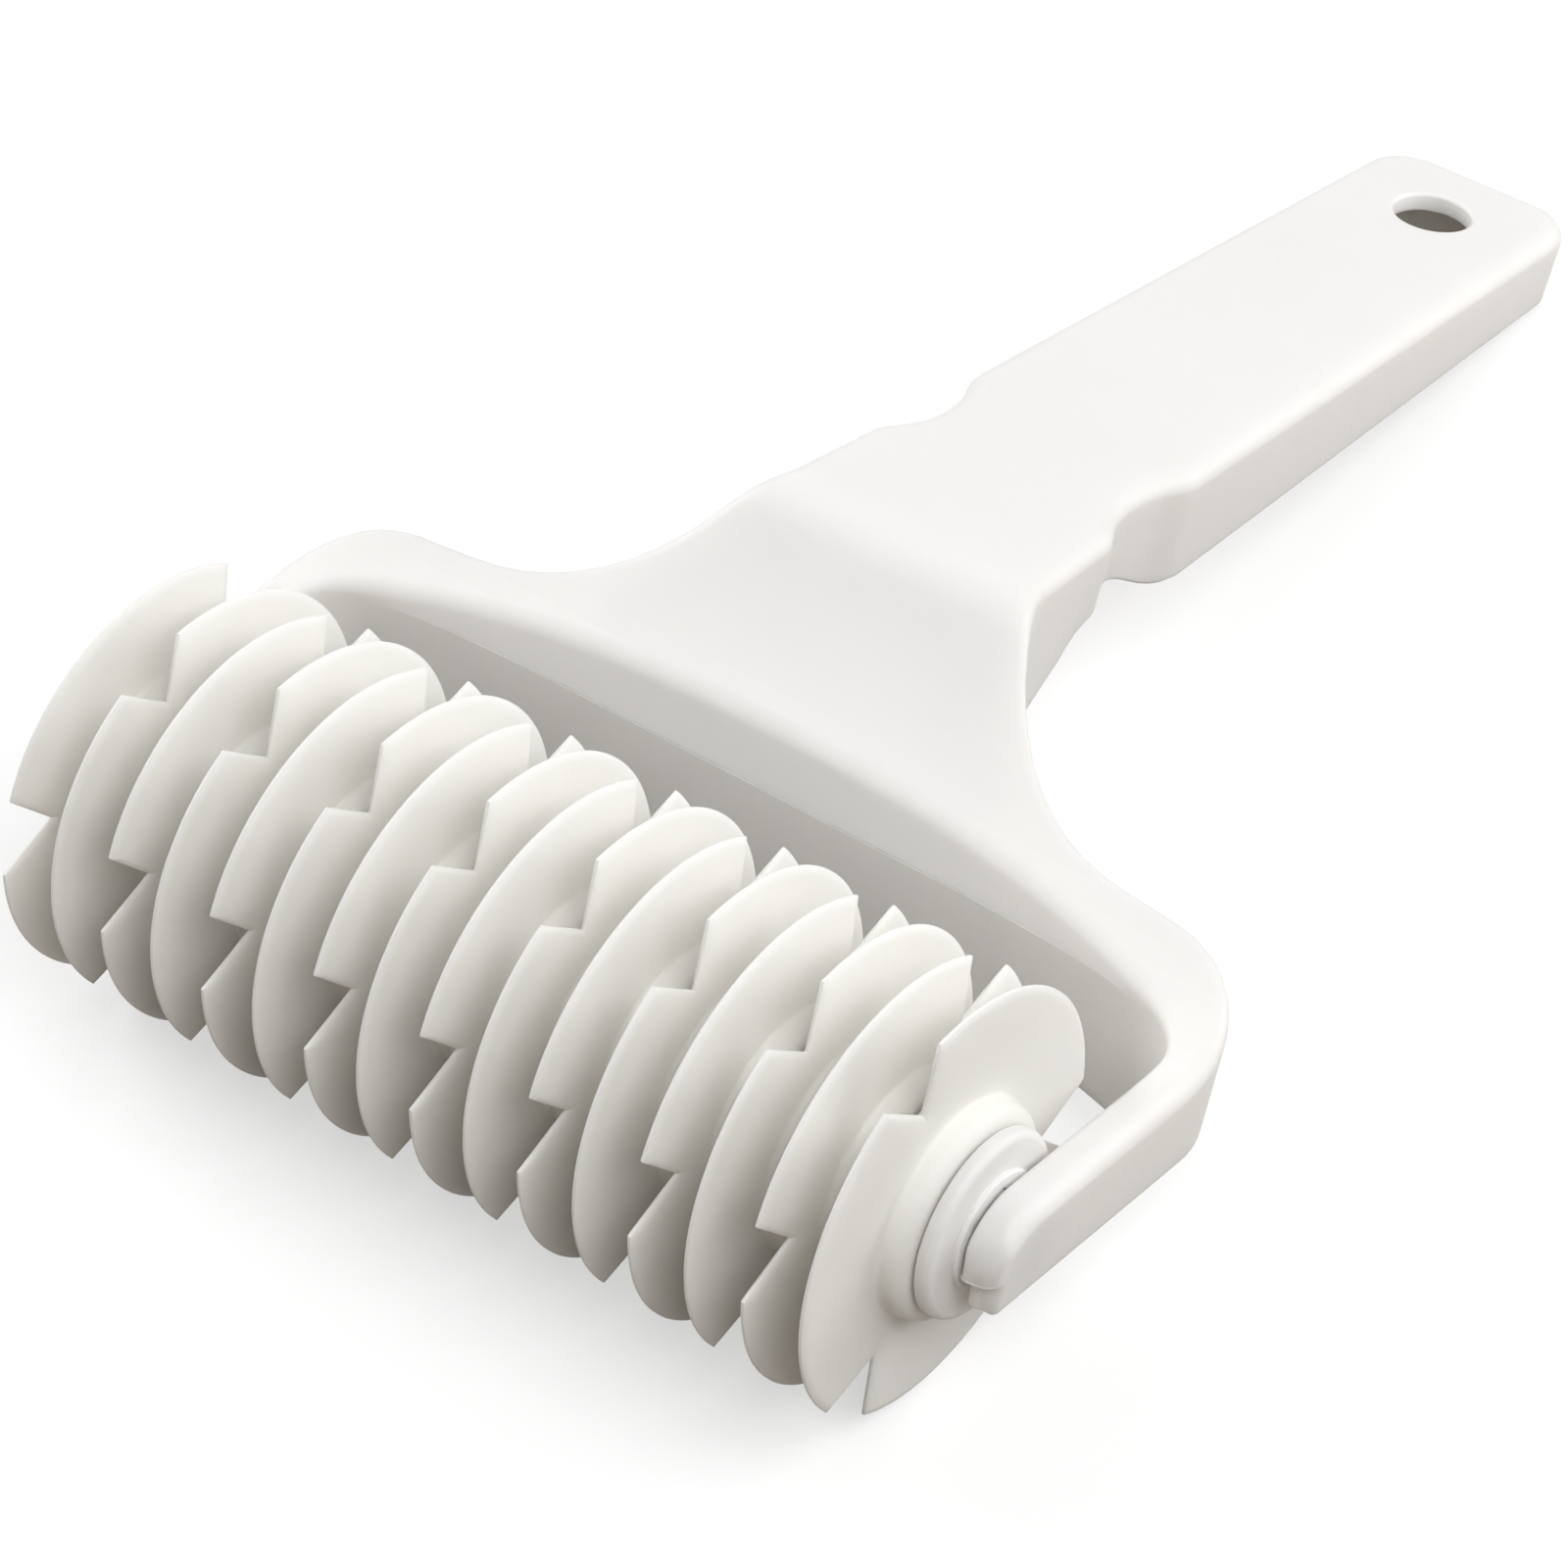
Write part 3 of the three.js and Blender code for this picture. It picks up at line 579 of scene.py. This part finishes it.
def hex_radius(angle):
    """Distance from the axis to the wall of the hexagonal bore."""
    side = math.pi / 3
    return bore_across_flats / 2 / math.cos((angle + side / 2) % side - side / 2)


def blade_outline():
    """The notched blade's edge as (angle, radius, bevel) points, once round."""
    apex = DISC_RADIUS - NOTCH_DEPTH
    mouth_half = NOTCH_WIDTH / 2
    mouth_height = math.sqrt(DISC_RADIUS ** 2 - mouth_half ** 2)
    mouth = math.asin(mouth_half / DISC_RADIUS)
    flank = []
    for k in range(-FLANK_STEPS, FLANK_STEPS + 1):
        share = abs(k) / FLANK_STEPS
        across = mouth_half * k / FLANK_STEPS
        up = mix(apex, mouth_height, share)
        flank.append((math.atan2(across, up), math.hypot(across, up), NOTCH_BEVEL))
    rim_steps = round((notch_spacing - 2 * mouth) / RIM_STEP)
    rim = []
    for k in range(1, rim_steps):
        rim.append((mix(mouth, notch_spacing - mouth, k / rim_steps), DISC_RADIUS, RIM_BEVEL))
    points = []
    for turn in range(NOTCH_COUNT):
        points += [(angle + turn * notch_spacing, radius, bevel) for angle, radius, bevel in flank + rim]
    return points


def polar(angle, radius):
    """A point across the axle, with angles counted from the roller's front."""
    return Vector((-radius * math.cos(angle), -radius * math.sin(angle)))


def ring_faces(columns):
    """Closed quads round the axis from columns of (x, point across) that each go once round the section."""
    faces = []
    for a, b in zip(columns, columns[1:] + columns[:1]):
        for k in range(len(a)):
            j = (k + 1) % len(a)
            faces.append([Vector((x, *p)) for x, p in (a[k], b[k], b[j], a[j])])
    return faces


def disc_columns():
    """Sections of one disc all round its axis, from the bore over hub, blade and rim and back."""
    edge = blade_outline()
    places = [polar(angle, radius) for angle, radius, _ in edge]
    half, rim_half = BLADE_THICKNESS / 2, RIM_THICKNESS / 2
    hub_half = (disc_pitch - HUB_FACE_GAP) / 2
    columns = []
    for i, (angle, _, bevel) in enumerate(edge):
        here = places[i]
        before, after = here - places[i - 1], places[(i + 1) % len(places)] - here
        inward = [Vector((-d.y, d.x)).normalized() for d in (before, after)]
        bevels = [max(bevel, edge[k % len(edge)][2]) for k in (i - 1, i + 1)]
        if inward[0].dot(inward[1]) > 0.9:
            shift = (inward[0] + inward[1]).normalized() * bevel
        else:
            a, b = inward
            det = a.x * b.y - a.y * b.x
            at_apex = abs(angle / notch_spacing - round(angle / notch_spacing)) < 1e-3
            d, e = (NOTCH_BEVEL, NOTCH_BEVEL) if at_apex else bevels
            shift = Vector(((d * b.y - e * a.y) / det, (a.x * e - b.x * d) / det))
        side = [(hub_half, polar(angle, hex_radius(angle)))]
        for k in range(SHOULDER_STEPS + 1):
            turn = math.pi / 2 * k / SHOULDER_STEPS
            radius = HUB_RADIUS - HUB_SHOULDER * (1 - math.sin(turn))
            side.append((hub_half - HUB_SHOULDER * (1 - math.cos(turn)), polar(angle, radius)))
        for k in range(ROOT_STEPS + 1):
            turn = math.pi / 2 * k / ROOT_STEPS
            radius = HUB_RADIUS + ROOT_FILLET * (1 - math.cos(turn))
            side.append((half + ROOT_FILLET * (1 - math.sin(turn)), polar(angle, radius)))
        side.append((half, here + shift))
        side.append((rim_half, here + shift * 0.08))
        side.append((rim_half * 0.6, here))
        columns.append(side + [(-x, p) for x, p in reversed(side)])
    return columns


# The edge colour is a painted highlight: the rim is drawn paler to stand in for light on the thin bevelled
# edge.
disc_plastic = moulded_polypropylene("ivory_moulded_polypropylene", "#f8f6f2", "#f3f1ec", roughness=0.52,
                                     cloud_mm=14, milkiness=0.5, edge="#f9f7f4")
disc_faces = ring_faces(disc_columns())
for i in range(DISC_COUNT):
    node_name = f"cutting_disc_{i + 1:02d}"
    turn = -ROLLER_TURN - (i % 2) * notch_spacing / 2
    shift = Matrix.Translation(((i - (DISC_COUNT - 1) / 2) * disc_pitch, 0, 0))
    disc = new_piece(f"notched_{node_name}", disc_faces, lying @ shift @ Matrix.Rotation(turn, 4, "X"))
    smooth(disc)
    # Marks the outer rim, where the paler edge colour paints a highlight along the blade's thin edge.
    rim = disc.data.attributes.new("rim", "FLOAT", "POINT")
    axis = axle_place.yz
    for vertex in disc.data.vertices:
        reach = (vertex.co.yz - axis).length / MM
        rim.data[vertex.index].value = 1 if reach > DISC_RADIUS - 0.6 * RIM_BEVEL else 0
    disc.data.materials.append(disc_plastic)
    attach(disc, "roller")
    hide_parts(node_name)


# End caps
# A stepped polypropylene collar at each end of the roller: a flange that closes the row of discs and a small
# boss that runs beside the arm. Each is pushed on to the hexagonal shaft.
CAP_FLANGE_LENGTH = 1.9
CAP_FLANGE_ROUND = 0.8
CAP_BOSS_RADIUS = 6.3
CAP_BOSS_ROUND = 0.2
CAP_ROUND_STEPS = 5
CAP_TURNS = 96


def cap_columns():
    """Sections of one cap all round its axis: flange, boss and bore."""
    flange = HUB_RADIUS - HUB_SHOULDER
    section = [(HUB_FACE_GAP / 2, flange - CAP_BOSS_ROUND), (HUB_FACE_GAP / 2 + CAP_BOSS_ROUND, flange)]
    for k in range(CAP_ROUND_STEPS + 1):
        turn = math.pi / 2 * k / CAP_ROUND_STEPS
        section.append((CAP_FLANGE_LENGTH - CAP_FLANGE_ROUND * (1 - math.sin(turn)),
                        flange - CAP_FLANGE_ROUND * (1 - math.cos(turn))))
    section += [(CAP_FLANGE_LENGTH, CAP_BOSS_RADIUS), (CAP_LENGTH - CAP_BOSS_ROUND, CAP_BOSS_RADIUS),
                (CAP_LENGTH, CAP_BOSS_RADIUS - CAP_BOSS_ROUND)]
    columns = []
    for k in range(CAP_TURNS):
        angle = 2 * math.pi * k / CAP_TURNS
        bore = polar(angle, hex_radius(angle))
        across = [(x, polar(angle, radius)) for x, radius in section]
        columns.append([(CAP_LENGTH, bore)] + across[::-1] + [(HUB_FACE_GAP / 2, bore)])
    return columns


cap_faces = ring_faces(cap_columns())
for side, node_name in ((1, "right_end_cap"), (-1, "left_end_cap")):
    outward = Matrix.Rotation(math.pi * (side < 0), 4, "Y")
    shift = outward @ Matrix.Translation((ROLLER_LENGTH / 2, 0, 0))
    cap = new_piece(f"stepped_{node_name}", cap_faces, lying @ Matrix.Rotation(-ROLLER_TURN, 4, "X") @ shift)
    smooth(cap)
    cap.data.materials.append(handle_plastic)
    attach(cap, "roller")
    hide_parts(node_name)


# Floor
# A plain white sheet that takes the tool's shadow. The camera sees it white, with a glow that keeps the
# shadow faint, and it throws only a little warm light back on the tool, as a wooden table would.
FLOOR_SIZE = 6.0
FLOOR_GLOW = 0.56
floor_mesh = bpy.data.meshes.new("floor")
reach = FLOOR_SIZE / 2
floor_mesh.from_pydata([(-reach, -reach, 0), (reach, -reach, 0), (reach, reach, 0), (-reach, reach, 0)], [],
                       [(0, 1, 2, 3)])
floor = bpy.data.objects.new("floor", floor_mesh)
bpy.context.scene.collection.objects.link(floor)
paper = bpy.data.materials.new("white_backdrop_paper")
paper.use_nodes = True
tree = paper.node_tree
tree.nodes.clear()
seen = node(tree, "ShaderNodeLightPath")
straight = node(tree, "ShaderNodeMath", {"operation": "MAXIMUM"}, _0=seen.outputs["Is Camera Ray"],
                _1=seen.outputs["Is Glossy Ray"])
shown = node(tree, "ShaderNodeMath", {"operation": "MAXIMUM"}, _0=straight.outputs[0],
             _1=seen.outputs["Is Transmission Ray"])
table = node(tree, "ShaderNodeBsdfDiffuse", Color=linear("#766a58"))
sheet = node(tree, "ShaderNodeBsdfDiffuse", Color=linear("#bcbcbc"))
glow = node(tree, "ShaderNodeEmission", Color=linear("#ffffff"), Strength=FLOOR_GLOW)
lit = node(tree, "ShaderNodeAddShader", _0=sheet.outputs[0], _1=glow.outputs[0])
paper_face = node(tree, "ShaderNodeMixShader", Fac=shown.outputs[0], _1=table.outputs[0], _2=lit.outputs[0])
node(tree, "ShaderNodeOutputMaterial", Surface=paper_face.outputs[0])
floor_mesh.materials.append(paper)


# Light
# White soft boxes round the tool: one high on the right, a wide one out on the left, a weak one high behind
# on the left and a small one low beside the grip that lights its flank, with a faint even sky.
LAMP_AIM = Vector((0, 0, 0.02))
SKY_STRENGTH = 0.175


def soft_box(name, place, size, watts):
    """A white rectangular lamp that faces the middle of the tool."""
    lamp = bpy.data.lights.new(name, "AREA")
    lamp.shape = "RECTANGLE"
    lamp.size, lamp.size_y = size
    lamp.energy = watts
    box = bpy.data.objects.new(name, lamp)
    box.location = place
    box.rotation_euler = (LAMP_AIM - Vector(place)).to_track_quat("-Z", "Y").to_euler()
    bpy.context.scene.collection.objects.link(box)


soft_box("right_front", (0.62, -0.25, 0.98), (0.9, 0.7), 8.7)
soft_box("left", (-1.08, -0.1, 0.51), (0.8, 0.7), 9.0)
soft_box("back_left_high", (-0.49, 0.49, 0.98), (0.7, 0.7), 1.4)
soft_box("beside_grip", (0.35, 0.32, 0.18), (0.3, 0.3), 1.12)
sky = bpy.data.worlds.new("pale_sky")
sky.use_nodes = True
background = sky.node_tree.nodes["Background"]
background.inputs["Color"].default_value = linear("#ffffff")
background.inputs["Strength"].default_value = SKY_STRENGTH
bpy.context.scene.world = sky
bpy.context.scene.view_settings.view_transform = "Standard"


# Camera
# A long lens above the right end of the roller, set so that the tool fills the square frame from corner to
# corner.
CAMERA_PLACE = (0.23702, -0.33488, 0.38692)
CAMERA_TURN_DEGREES = (45.780, 1.186, 37.425)
CAMERA_LENS = 117.1
SENSOR_WIDTH = 36
camera = bpy.data.cameras.new("camera")
camera.sensor_width = SENSOR_WIDTH
camera.lens = CAMERA_LENS
camera.clip_start = 0.01
viewpoint = bpy.data.objects.new("camera", camera)
viewpoint.location = CAMERA_PLACE
viewpoint.rotation_euler = [math.radians(turn) for turn in CAMERA_TURN_DEGREES]
bpy.context.scene.collection.objects.link(viewpoint)
bpy.context.scene.camera = viewpoint
